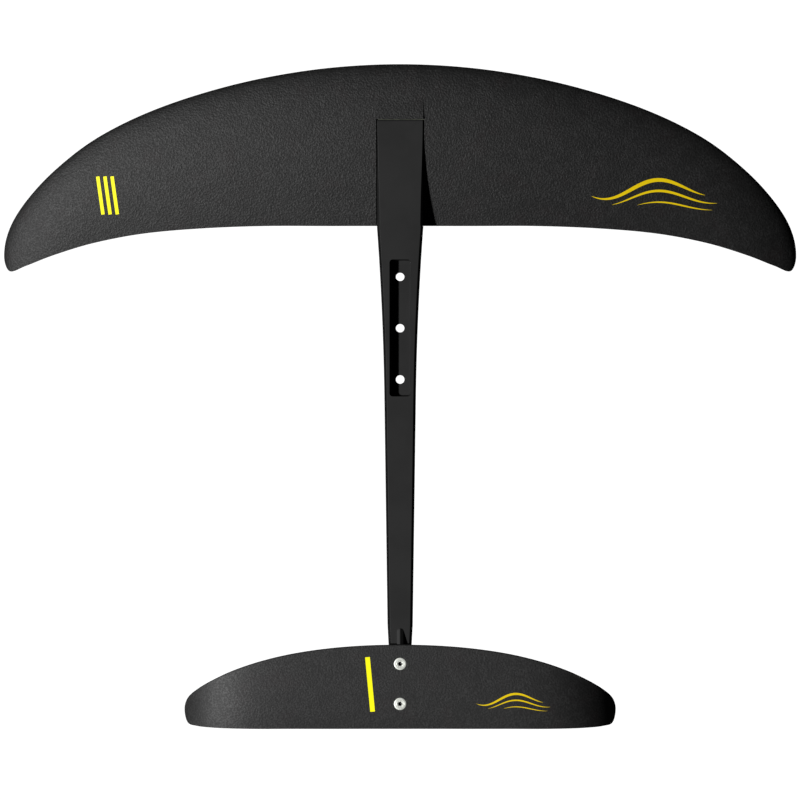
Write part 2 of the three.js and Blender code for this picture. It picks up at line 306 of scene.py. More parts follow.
class Graph:
    """Builds the node tree of one material, step by step."""

    def __init__(self, name: str) -> None:
        """Starts an empty material.

        Args:
            name: The material's name.
        """
        self.material = bpy.data.materials.new(name)
        self.material.use_nodes = True
        self.tree = self.material.node_tree
        self.shader = self.tree.nodes["Principled BSDF"]
        self.place = self.tree.nodes.new("ShaderNodeTexCoord").outputs["Object"]

    def put(self, socket: Socket, value: object) -> None:
        """Links a socket to another node's output, or sets it to a value.

        Args:
            socket: The input to feed.
            value: The output that feeds it, or its plain value.
        """
        if isinstance(value, Socket):
            self.tree.links.new(value, socket)
        else:
            socket.default_value = value

    def mapped(self, scale: Sequence[float], turn: float = 0) -> Socket:
        """Turns the position about Z, then scales it.

        Args:
            scale: Factors along X, Y and Z.
            turn: Angle of the turn in degrees.

        Returns:
            The mapped position.
        """
        turned = self.tree.nodes.new("ShaderNodeVectorRotate")
        turned.rotation_type = "Z_AXIS"
        self.put(turned.inputs["Vector"], self.place)
        turned.inputs["Angle"].default_value = math.radians(turn)
        scaled = self.tree.nodes.new("ShaderNodeVectorMath")
        scaled.operation = "MULTIPLY"
        self.put(scaled.inputs[0], turned.outputs[0])
        scaled.inputs[1].default_value = scale
        return scaled.outputs[0]

    def noise(self, place: Socket, scale: float = 1, detail: float = 2, rough: float = 0.5) -> Socket:
        """Adds cloudy noise from 0 to 1.

        Args:
            place: Where the noise is read.
            scale: Clouds to each metre of place.
            detail: How many finer layers it has.
            rough: How strong the finer layers are.

        Returns:
            The noise's height.
        """
        node = self.tree.nodes.new("ShaderNodeTexNoise")
        self.put(node.inputs["Vector"], place)
        node.inputs["Scale"].default_value = scale
        node.inputs["Detail"].default_value = detail
        node.inputs["Roughness"].default_value = rough
        return node.outputs["Fac"]

    def cells(self, place: Socket, scale: float) -> Socket:
        """Adds the distance to the nearest of a cloud of scattered points.

        Args:
            place: Where the distance is read.
            scale: Points to each metre of place.

        Returns:
            The distance, near 0 at a point.
        """
        node = self.tree.nodes.new("ShaderNodeTexVoronoi")
        self.put(node.inputs["Vector"], place)
        node.inputs["Scale"].default_value = scale
        return node.outputs["Distance"]

    def sum(self, operation: str, first: object, second: object = 0.0) -> Socket:
        """Adds one step of arithmetic.

        Args:
            operation: What is done, such as "ADD" or "MULTIPLY".
            first: The first number.
            second: The second number.

        Returns:
            The result.
        """
        node = self.tree.nodes.new("ShaderNodeMath")
        node.operation = operation
        self.put(node.inputs[0], first)
        self.put(node.inputs[1], second)
        return node.outputs[0]

    def ease(self, value: Socket, span: Span, to: Span = (0, 1)) -> Socket:
        """Maps a number smoothly from one span onto another.

        Args:
            value: The number.
            span: Lowest and highest value that count.
            to: What those two become.

        Returns:
            The mapped number.
        """
        node = self.tree.nodes.new("ShaderNodeMapRange")
        node.interpolation_type = "SMOOTHSTEP"
        self.put(node.inputs["Value"], value)
        node.inputs["From Min"].default_value, node.inputs["From Max"].default_value = span
        node.inputs["To Min"].default_value, node.inputs["To Max"].default_value = to
        return node.outputs["Result"]

    def blend(self, share: object, first: object, second: object) -> Socket:
        """Mixes two colours.

        Args:
            share: How much of the second colour shows, from 0 to 1.
            first: The first colour.
            second: The second colour.

        Returns:
            The mixed colour.
        """
        node = self.tree.nodes.new("ShaderNodeMix")
        node.data_type = "RGBA"
        self.put(node.inputs["Factor"], share)
        colours = [s for s in node.inputs if s.type == "RGBA"]
        for socket, value in zip(colours, (first, second)):
            self.put(socket, (*value, 1.0) if isinstance(value, tuple) else value)
        return next(s for s in node.outputs if s.type == "RGBA")

    def bump(self, height: Socket, depth: float, strength: float) -> None:
        """Gives the shader a bump.

        Args:
            height: The bump's height, from 0 to 1.
            depth: What a height of 1 stands for, in metres.
            strength: How much of it the light sees, from 0 to 1.
        """
        node = self.tree.nodes.new("ShaderNodeBump")
        self.put(node.inputs["Height"], height)
        node.inputs["Distance"].default_value = depth
        node.inputs["Strength"].default_value = strength
        self.put(self.shader.inputs["Normal"], node.outputs[0])

    def set(self, **values: object) -> None:
        """Sets shader sockets.

        Args:
            values: What each socket gets. In a socket's name, _ stands for a space.
        """
        for name, value in values.items():
            value = (*value, 1.0) if isinstance(value, tuple) else value
            self.put(self.shader.inputs[name.replace("_", " ")], value)


class Finish(Protocol):
    """What every finish has: the part's slot that it fills and its material."""

    slot: str

    def material(self) -> bpy.types.Material:
        """Makes the material."""


@dataclass(frozen=True)
class CarbonFinish:
    """Matte moulded carbon with a felt of fine fibres, laid in four directions."""

    slot: str = "wing_carbon"
    ground: Colour = (0.0, 0.0, 0.0)
    fibre: Colour = (0.013, 0.013, 0.013)
    warm: Colour = (0.0035, 0.0006, 0.0010)
    fibre_width: float = 1.3 * MM
    fibre_length: float = 3.0 * MM
    fibre_turns: tuple[float, ...] = (14, 61, 103, 152)
    grain_size: float = 1.7 * MM
    cloud_size: float = 14 * MM
    tint_size: float = 22 * MM
    roughness: Span = (0.67, 0.61)
    gloss: float = 0.42
    relief: float = 0.9 * MM

    def material(self) -> bpy.types.Material:
        """Makes the material.

        Returns:
            The material.
        """
        g = Graph("carbon_felt")
        strands = None
        for turn in self.fibre_turns:
            at = g.mapped((1 / self.fibre_length, 1 / self.fibre_width, 1 / self.fibre_width), turn)
            layer = g.noise(at, detail=1.5, rough=0.6)
            strands = layer if strands is None else g.sum("MAXIMUM", strands, layer)
        grain = g.noise(g.place, 1 / self.grain_size, detail=1, rough=0.5)
        felt = g.sum("ADD", g.sum("MULTIPLY", strands, 0.5), g.sum("MULTIPLY", grain, 0.5))
        bright = g.ease(felt, (0.46, 0.66))
        cloud = g.ease(g.noise(g.place, 1 / self.cloud_size, detail=3, rough=0.6), (0.3, 0.7))
        tint = g.ease(g.noise(g.place, 1 / self.tint_size, detail=2), (0.5, 0.75), (0, 0.5))
        ground = g.blend(tint, self.ground, self.warm)
        share = g.sum("MULTIPLY", bright, g.ease(cloud, (0, 1), (0.45, 1)))
        rough = g.ease(bright, (0, 1), self.roughness)
        colour = g.blend(share, ground, self.fibre)
        g.set(Base_Color=colour, Roughness=rough, Specular_IOR_Level=self.gloss)
        g.bump(felt, self.relief, 1.0)
        return g.material


@dataclass(frozen=True)
class AnodisedFinish:
    """Fine black anodising over bead-blasted aluminium."""

    slot: str = "anodised_black"
    colour: Colour = (0.0010, 0.0010, 0.0010)
    faded: Colour = (0.0016, 0.0016, 0.0016)
    roughness: Span = (0.50, 0.54)
    gloss: float = 0.44
    blast_size: float = 0.22 * MM
    drift_size: float = 38 * MM
    blast_depth: float = 0.002 * MM

    def material(self) -> bpy.types.Material:
        """Makes the material.

        Returns:
            The material.
        """
        g = Graph("black_anodising")
        blast = g.noise(g.place, 1 / self.blast_size, detail=1)
        drift = g.ease(g.noise(g.place, 1 / self.drift_size, detail=3), (0.3, 0.7))
        lines = g.noise(g.mapped((30, 2600, 2600)), detail=2, rough=0.6)
        wear = g.sum("ADD", g.sum("MULTIPLY", lines, 0.5), g.sum("MULTIPLY", drift, 0.5))
        g.set(
            Base_Color=g.blend(drift, self.colour, self.faded),
            Roughness=g.ease(wear, (0.2, 0.8), self.roughness),
            Specular_IOR_Level=self.gloss,
        )
        g.bump(g.sum("ADD", blast, g.sum("MULTIPLY", lines, 0.4)), self.blast_depth, 0.25)
        return g.material


@dataclass(frozen=True)
class StainlessFinish:
    """Turned stainless steel, tumbled matte."""

    name: str = "tumbled_stainless"
    slot: str = "stainless"
    colour: Colour = (0.86, 0.88, 0.82)
    stain: Colour = (0.66, 0.68, 0.62)

    def material(self) -> bpy.types.Material:
        """Makes the material.

        Returns:
            The material.
        """
        g = Graph(self.name)
        tumble = g.noise(g.place, 1 / (0.5 * MM), detail=3, rough=0.6)
        marks = g.ease(g.noise(g.place, 1 / (1.8 * MM), detail=4), (0.45, 0.75))
        g.set(
            Base_Color=g.blend(marks, self.colour, self.stain),
            Roughness=g.ease(tumble, (0.3, 0.7), (0.42, 0.55)),
            Metallic=0.8,
        )
        g.bump(tumble, 0.02 * MM, 0.25)
        return g.material


@dataclass(frozen=True)
class InnerFinish:
    """Filling inside the skins: closed-cell foam or stacked laminate."""

    slot: str
    colour: Colour
    shade: Colour
    cell: tuple[float, ...]

    def material(self) -> bpy.types.Material:
        """Makes the material.

        Returns:
            The material.
        """
        g = Graph(self.slot)
        at = g.mapped(tuple(1 / c for c in self.cell))
        pores = g.cells(at, 1)
        patch = g.noise(g.place, 1 / (12 * MM), detail=2)
        shaded = g.sum("ADD", g.sum("MULTIPLY", pores, 0.7), g.sum("MULTIPLY", patch, 0.4))
        share = g.ease(shaded, (0.2, 0.9))
        g.set(Base_Color=g.blend(share, self.colour, self.shade), Roughness=0.85)
        g.bump(pores, 0.2 * MM, 0.4)
        return g.material


@dataclass(frozen=True)
class PrintFinish:
    """Screen-printed ink, a little uneven in cover."""

    name: str
    ink: Colour
    thin: Colour
    slot: str = "mark_yellow"

    def material(self) -> bpy.types.Material:
        """Makes the material.

        Returns:
            The material.
        """
        g = Graph(self.name)
        cover = g.ease(g.noise(g.place, 1 / (1.5 * MM), detail=3), (0.45, 0.8))
        g.set(
            Base_Color=g.blend(cover, self.ink, self.thin),
            Roughness=g.ease(cover, (0, 1), (0.5, 0.62)),
            Specular_IOR_Level=0.15,
        )
        g.bump(cover, 0.01 * MM, 0.2)
        return g.material


CARBON = CarbonFinish()
TAIL_CARBON = CarbonFinish(gloss=0.48, relief=0.42 * MM)
ANODISING = AnodisedFinish()
STAINLESS = StainlessFinish()
# Painted shade: a near-black copy of the steel, laid in the screws' sockets to darken the recess.
SOCKET_PAINTED_SHADE = StainlessFinish("socket_painted_shade", colour=(0.06, 0.06, 0.058), stain=(0.03, 0.03, 0.03))
FOAM = InnerFinish(
    "foam_core",
    colour=(0.60, 0.47, 0.24),
    shade=(0.42, 0.32, 0.15),
    cell=(1.2 * MM, 1.2 * MM, 1.2 * MM),
)
LAMINATE = InnerFinish(
    "root_laminate",
    colour=(0.06, 0.065, 0.045),
    shade=(0.025, 0.027, 0.02),
    cell=(5 * MM, 5 * MM, 0.4 * MM),
)
BRIGHT_INK = PrintFinish("bright_yellow_ink", (0.90, 0.86, 0.006), (0.84, 0.78, 0.005))
GOLD_INK = PrintFinish("gold_yellow_ink", (0.70, 0.50, 0.003), (0.58, 0.41, 0.002))


class Workshop:
    """Dresses pieces and hangs them on the frame."""

    def __init__(self) -> None:
        """Starts with no material made."""
        self.made: dict[Finish, bpy.types.Material] = {}

    def material(self, finish: Finish) -> bpy.types.Material:
        """Gives a finish's material, made once.

        Args:
            finish: The finish.

        Returns:
            Its material.
        """
        if finish not in self.made:
            self.made[finish] = finish.material()
        return self.made[finish]

    def fit(self, piece: Piece, finish: Finish, *nodes: str) -> Piece:
        """Dresses a new piece and puts it on the frame.

        Args:
            piece: The new piece.
            finish: The finish it wears.
            nodes: The CAD nodes that it stands for.

        Returns:
            The piece.
        """
        piece.data.materials.clear()
        piece.data.materials.append(self.material(finish))
        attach(piece, BODY)
        if nodes:
            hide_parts(*nodes)
        log.info("%s: %d faces, %s", piece.name, len(piece.data.polygons), finish.slot)
        return piece

    def redress(self, node: str, finish: Finish) -> None:
        """Gives a CAD node that stays a better material.

        Args:
            node: The node's name.
            finish: The finish it gets.
        """
        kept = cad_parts[node]
        if not kept.material_slots:
            kept.data.materials.append(None)
        kept.material_slots[0].material = self.material(finish)
        log.info("%s: kept from the frame, %s", node, finish.slot)


# ---------------------------------------------------------------- wings


@dataclass
class WingForm:
    """Outline and section that a wing's two skins share.

    The leads and trails are in millimetres, at even steps of the span angle from the middle to
    the tip.
    """

    half_span: float
    leads: tuple[float, ...]
    trails: tuple[float, ...]
    thickness: float
    skin: float
    edge: float

    def angle(self, x: Points) -> Points:
        """Gives the span angle, 0 in the middle and 1 at the tip."""
        return np.arcsin(np.clip(np.abs(x) / self.half_span, 0, 1)) / QUARTER

    def lead(self, x: Points) -> Points:
        """Gives the leading edge's Y at span x."""
        return mirrored_row(self.leads, self.angle(x)) * MM

    def trail(self, x: Points) -> Points:
        """Gives the trailing edge's Y at span x."""
        return mirrored_row(self.trails, self.angle(x)) * MM

    def half(self, share: Points, chord: Points) -> Points:
        """Gives the section's half thickness.

        Args:
            share: Chord shares.
            chord: The chord at each span position.

        Returns:
            The half thickness at each place.
        """
        shape = 0.2969 * np.sqrt(share) - 0.126 * share - 0.3516 * share**2
        shape = shape + 0.2843 * share**3 - 0.1036 * share**4
        return 5 * self.thickness * chord * shape + self.edge * share

    def middle(self, x: Points, share: Points, chord: Points) -> Points:
        """Gives the height of the section's middle line. Each wing has its own.

        Args:
            x: Span positions.
            share: Chord shares.
            chord: The chord at each span position.

        Returns:
            The height at each place.
        """
        raise NotImplementedError

    def at(self, x: Points, share: Points, lift: Rule) -> Points:
        """Gives points on the section at span x.

        Args:
            x: Span positions.
            share: Chord shares, 0 at the leading edge and 1 at the trailing edge.
            lift: How far off the middle line, from the half thickness.

        Returns:
            Points with a last axis of three.
        """
        lead = self.lead(x)
        chord = self.trail(x) - lead
        height = self.middle(x, share, chord) + lift(self.half(share, chord))
        x, y, height = np.broadcast_arrays(x, lead + share * chord, height)
        return np.stack([x, y, height], -1)

    def on_top(self, x: Points, y: Points, lift: float = 0.0) -> Points:
        """Gives points over the upper surface.

        Args:
            x: Span positions.
            y: Positions along the way of travel.
            lift: Height off the surface.

        Returns:
            Points with a last axis of three.
        """
        lead = self.lead(x)
        share = np.clip((y - lead) / (self.trail(x) - lead), 0, 1)
        return self.at(x, share, lambda half: half + lift)

    def outer(self, side: Side) -> Rule:
        """Gives the rule of a skin's outer surface."""
        return lambda half: side.value * half

    def inner(self, side: Side) -> Rule:
        """Gives the rule of a skin's inner surface, closed to a thin lip at the edges."""
        lip = 0.04 * MM
        return lambda half: side.value * np.maximum(half - self.skin, np.minimum(half, lip))

    def columns(self, count: int, extra: Sequence[float] = ()) -> Points:
        """Gives span positions from tip to tip, closer together towards the tips.

        Args:
            count: How many there are.
            extra: Positions that have to be among them.

        Returns:
            The positions, in order.
        """
        reach = 0.99985 * self.half_span
        even = reach * np.sin(np.linspace(-QUARTER, QUARTER, count))
        clear = [x for x in even if all(abs(x - e) > 1.0 * MM for e in extra)]
        return np.array(sorted([*clear, *extra]))


@dataclass
class FrontForm(WingForm):
    """The front wing's form: drooped along the whole span, with a slight angle of attack."""

    half_span: float = 391.9 * MM
    leads: tuple[float, ...] = (-257.1, -253.7, -243.9, -228.7, -209.2, -185.1, -155.9, -126.5, -99.3, -72.5)
    trails: tuple[float, ...] = (-99.6, -99.6, -99.7, -97.5, -92.8, -84.1, -72.9, -62.5, -57.3, -72.5)
    thickness: float = 0.125
    skin: float = 1.4 * MM
    edge: float = 0.4 * MM
    camber: float = 0.0243
    incidence: float = 0.025
    trail_height: float = -7.4 * MM
    droop: float = 49.3 * MM
    tip_droop: float = 16.9 * MM

    def middle(self, x: Points, share: Points, chord: Points) -> Points:
        """Gives the height of the section's middle line.

        Args:
            x: Span positions.
            share: Chord shares.
            chord: The chord at each span position.

        Returns:
            The height at each place.
        """
        reach = np.abs(x) / self.half_span
        fall = self.droop * reach**2.11 + self.tip_droop * reach**12
        rise = self.incidence * chord * (1 - share) + 4 * self.camber * chord * share * (1 - share)
        return self.trail_height + rise - fall


@dataclass
class TailForm(WingForm):
    """The stabiliser's form: nearly flat on top over a curved belly, with tips that curl down."""

    half_span: float = 211.1 * MM
    leads: tuple[float, ...] = (307.2, 308.1, 311.1, 316.2, 323.5, 332.5, 342.6, 352.3, 361.4, 372.3)
    trails: tuple[float, ...] = (389.2, 389.2, 389.3, 389.3, 389.5, 389.4, 389, 388.1, 385.3, 372.3)
    thickness: float = 0.09
    skin: float = 1.1 * MM
    edge: float = 0.3 * MM
    top: float = 17.1 * MM
    fall: float = 0.174
    nose: float = 0.6 * MM
    droop: float = 6.9 * MM
    tip_curl: float = 36.8 * MM

    def middle(self, x: Points, share: Points, chord: Points) -> Points:
        """Gives the height of the section's middle line.

        Args:
            x: Span positions.
            share: Chord shares.
            chord: The chord at each span position.

        Returns:
            The height at each place.
        """
        reach = np.abs(x) / self.half_span
        bend = self.fall * chord * np.maximum(share - 0.4, 0) ** 2
        bend = bend + self.nose * np.maximum(1 - share / 0.02, 0) ** 2
        curl = self.droop * reach**2 + self.tip_curl * reach**8.36
        return self.top - self.half(share, chord) - bend - curl


@dataclass
class Wing:
    """A moulded wing: two skins round two foam cores and a solid root block."""

    name: str
    form: WingForm
    finish: CarbonFinish = CARBON
    column_count: int = 220
    row_powers: tuple[int, float] = (60, 1.7)

    def shares(self) -> Points:
        """Gives the chord shares of the skins' rows, closest together at the nose."""
        count, power = self.row_powers
        return np.linspace(0, 1, count) ** power

    def skin_grids(self, side: Side) -> tuple[Points, Points, Optional[Points]]:
        """Gives the two grids of points that a skin lies between.

        Args:
            side: Which half of the wing the skin is.

        Returns:
            The outer grid, the inner grid and the cells that the skin covers, or None for all.
        """
        x = self.form.columns(self.column_count)[:, None]
        share = self.shares()[None, :]
        outer = self.form.at(x, share, self.form.outer(side))
        return outer, self.form.at(x, share, self.form.inner(side)), None

    def skin(self, side: Side) -> Piece:
        """Builds one skin.

        Args:
            side: Which half of the wing it is.

        Returns:
            The skin's object.
        """
        name = f"{self.name}_{side.name.lower()}_moulding"
        return shell_between(name, *self.skin_grids(side))

    def build(self, shop: Workshop, holes: Sequence["Screw"]) -> None:
        """Builds and dresses the wing's pieces.

        Args:
            shop: Where the pieces are dressed.
            holes: The screws that go through the wing.
        """
        for side in Side:
            made = self.skin(side)
            reached = [s for s in holes if s.facing.value == side.value or s.passes_through]
            for screw in reached:
                combined(made, screw.hole(), "DIFFERENCE")
            shop.fit(made, self.finish, f"{self.name}_{side.name.lower()}_skin")
        shop.redress(f"{self.name}_core_left", FOAM)
        shop.redress(f"{self.name}_core_right", FOAM)
        shop.redress(f"{self.name}_root_block", LAMINATE)


@dataclass
class FrontWing(Wing):
    """The front wing, with the seat of the fuselage's tongue and the ramp ahead of it."""

    name: str = "front_wing"
    form: WingForm = field(default_factory=FrontForm)
    ramp_half: float = 22.4 * MM
    ramp_foot: float = 22.5 * MM
    seat_half: float = 23.4 * MM
    ramp_front: float = -221.4 * MM
    seat_front: float = -202.9 * MM
    ramp_top: float = 10.2 * MM
    fade: Span = (24 * MM, 70 * MM)

    def rows(self, x: Points) -> tuple[Points, int]:
        """Lays out the chord shares so that rows meet the ramp's start and the seat's front.

        Args:
            x: Span positions, as a column.

        Returns:
            The shares at each position, and the number of the seat's front row.
        """
        lead = self.form.lead(np.zeros(1))[0]
        chord = self.form.trail(np.zeros(1))[0] - lead
        knots = [0, (self.ramp_front - lead) / chord, (self.seat_front - lead) / chord, 1]
        nose = knots[1] * np.linspace(0, 1, 26) ** 1.9
        ramp = np.linspace(knots[1], knots[2], 9)[1:]
        rear = np.linspace(knots[2], 1, 34)[1:]
        even = np.concatenate([nose, ramp, rear])
        near = 1 - smoothstep(np.abs(x), *self.fade)
        chords = self.form.trail(x) - self.form.lead(x)
        shares = []
        for span, pull, chord in zip(np.ravel(x), np.ravel(near), np.ravel(chords)):
            own = [(y - self.form.lead(span)) / chord for y in (self.ramp_front, self.seat_front)]
            moved = [0, *(k + pull * (o - k) for k, o in zip(knots[1:3], own)), 1]
            shares.append(np.interp(even, knots, moved))
        return np.array(shares), len(nose) + len(ramp) - 1

    def skin_grids(self, side: Side) -> tuple[Points, Points, Optional[Points]]:
        """Gives the two grids of points that a skin lies between.

        Args:
            side: Which half of the wing the skin is.

        Returns:
            The outer grid, the inner grid and the cells that the skin covers, or None for all.
        """
        marks = (self.ramp_half, self.ramp_foot, self.seat_half)
        x = self.form.columns(self.column_count, [s * m for m in marks for s in (-1, 1)])[:, None]
        share, seat_row = self.rows(x)
        outer = self.form.at(x, share, self.form.outer(side))
        inner = self.form.at(x, share, self.form.inner(side))
        if side is Side.LOWER:
            return outer, inner, None
        start = self.form.on_top(np.zeros(1), np.array([self.ramp_front]))[0, 2]
        t = np.clip((outer[..., 1] - self.ramp_front) / (self.seat_front - self.ramp_front), 0, 1)
        on_ramp = (np.abs(x) <= self.ramp_half + 1e-6) & (t > 0)
        slope = start + (self.ramp_top - start) * t
        outer[..., 2] = np.where(on_ramp, np.maximum(outer[..., 2], slope), outer[..., 2])
        keep = np.ones((len(x) - 1, share.shape[1] - 1), bool)
        centre = np.abs((x[1:, 0] + x[:-1, 0]) / 2) < self.seat_half
        keep[np.ix_(centre, np.arange(share.shape[1] - 1) >= seat_row)] = False
        return outer, inner, keep


@dataclass
class Stabiliser(Wing):
    """The small rear wing on the fuselage's tail."""

    name: str = "stabiliser"
    form: WingForm = field(default_factory=TailForm)
    column_count: int = 200
    row_powers: tuple[int, float] = (56, 2.2)
    finish: CarbonFinish = TAIL_CARBON
    pad_half: float = 14 * MM
    pad_ends: Span = (313 * MM, 377 * MM)
    pad_foot: float = 9.7 * MM

    def pad(self) -> Solid:
        """Gives the flat pad that fills the room between the belly and the fuselage.

        Returns:
            The pad's points and faces.
        """
        rings = []
        for y in np.linspace(*self.pad_ends, 12):
            lead = self.form.lead(np.zeros(1))
            share = (y - lead) / (self.form.trail(np.zeros(1)) - lead)
            belly = self.form.at(np.zeros(1), share, lambda half: -half)[0, 2] + 0.5 * MM
            x = np.array([-1, 1, 1, -1]) * self.pad_half
            z = np.array([self.pad_foot, self.pad_foot, belly, belly])
            rings.append(np.stack([x, np.full(4, y), np.maximum(z, self.pad_foot)], 1))
        return tube_mesh(rings)

    def skin(self, side: Side) -> Piece:
        """Builds one skin, and the pad on the lower one.

        Args:
            side: Which half of the wing it is.

        Returns:
            The skin's object.
        """
        made = super().skin(side)
        if side is Side.LOWER:
            combined(made, new_piece("pad_tool", *self.pad()), "UNION")
        return made


# ---------------------------------------------------------------- printed marks


@dataclass
class Stripe:
    """One printed stroke on a wing's upper surface."""

    name: str
    form: WingForm
    line: Callable[[Points], Points]
    width: Rule
    steps: int = 60
    lanes: int = 4
    lift: float = 0.05 * MM
    ink: float = 0.04 * MM

    def build(self) -> Piece:
        """Lays the stroke on the surface as a thin film.

        Returns:
            The film's object.
        """
        t = np.linspace(0, 1, self.steps + 1)
        path = self.line(t)
        along = np.gradient(path, axis=0)
        along /= np.linalg.norm(along, axis=1, keepdims=True)
        across = np.stack([-along[:, 1], along[:, 0]], 1)
        lanes = np.linspace(-0.5, 0.5, self.lanes + 1)
        flat = path[:, None, :] + across[:, None, :] * (self.width(t)[:, None] * lanes)[..., None]
        upper = self.form.on_top(flat[..., 0], flat[..., 1], self.lift)
        lower = self.form.on_top(flat[..., 0], flat[..., 1], self.lift - self.ink)
        return shell_between(self.name, upper, lower)


@dataclass
class BarMark:
    """A row of plain slanted bars."""

    name: str
    form: WingForm
    centre: Span
    height: float
    bar: float
    count: int = 1
    pitch: float = 0.0
    slant: float = 0.0

    def build(self, shop: Workshop) -> None:
        """Builds and dresses the bars.

        Args:
            shop: Where the pieces are dressed.
        """
        for i in range(self.count):
            x = self.centre[0] + (i - (self.count - 1) / 2) * self.pitch
            stripe = Stripe(
                f"{self.name}_{i + 1}",
                self.form,
                partial(self.line, x),
                lambda t: np.full(t.shape, self.bar),
            )
            shop.fit(stripe.build(), BRIGHT_INK)

    def line(self, x: float, t: Points) -> Points:
        """Gives the middle line of one bar.

        Args:
            x: Where the bar's middle is along the span.
            t: Places along the bar, from 0 at its front end to 1 at its rear end.

        Returns:
            X and Y of each place.
        """
        half = np.array([self.slant, -self.height]) / 2
        front, rear = np.array([x, self.centre[1]]) + half, np.array([x, self.centre[1]]) - half
        return front + (rear - front) * t[:, None]


@dataclass(frozen=True)
class Wave:
    """One stroke of a wave mark, in shares of the mark's width and height."""

    start: float
    end: float
    level: float
    swing: float
    thick: float


@dataclass
class WaveMark:
    """Flowing pinstripes: a few waves over each other that swell and taper."""

    name: str
    form: WingForm
    centre: Span
    width: float
    height: float
    waves: tuple[Wave, ...] = (
        Wave(start=-0.50, end=0.40, level=0.16, swing=1.00, thick=0.062),
        Wave(start=-0.34, end=0.50, level=-0.08, swing=0.72, thick=0.040),
        Wave(start=-0.14, end=0.46, level=-0.32, swing=0.44, thick=0.026),
    )
    crest: float = 0.30
    cycles: float = 1.15
    phase: float = 0.2
    fading: float = 0.35

    def line(self, wave: Wave, t: Points) -> Points:
        """Gives the middle line of one wave.

        Args:
            wave: The wave.
            t: Places along it, from 0 to 1.

        Returns:
            X and Y of each place.
        """
        run = wave.start + (wave.end - wave.start) * t
        swing = self.crest * wave.swing * (1 - self.fading * t)
        rise = wave.level + swing * np.sin(2 * math.pi * (self.cycles * run + self.phase))
        return np.stack([self.centre[0] - run * self.width, self.centre[1] - rise * self.height], 1)

    def thickness(self, wave: Wave, t: Points) -> Points:
        """Gives the stroke's width along a wave, swelling in its middle."""
        return self.height * wave.thick * (0.08 + 1.6 * np.sin(math.pi * t) ** 0.8)

    def build(self, shop: Workshop) -> None:
        """Builds and dresses the waves.

        Args:
            shop: Where the pieces are dressed.
        """
        for i, wave in enumerate(self.waves):
            line, width = partial(self.line, wave), partial(self.thickness, wave)
            stripe = Stripe(f"{self.name}_{i + 1}", self.form, line, width, steps=110)
            shop.fit(stripe.build(), GOLD_INK)


# ---------------------------------------------------------------- fasteners


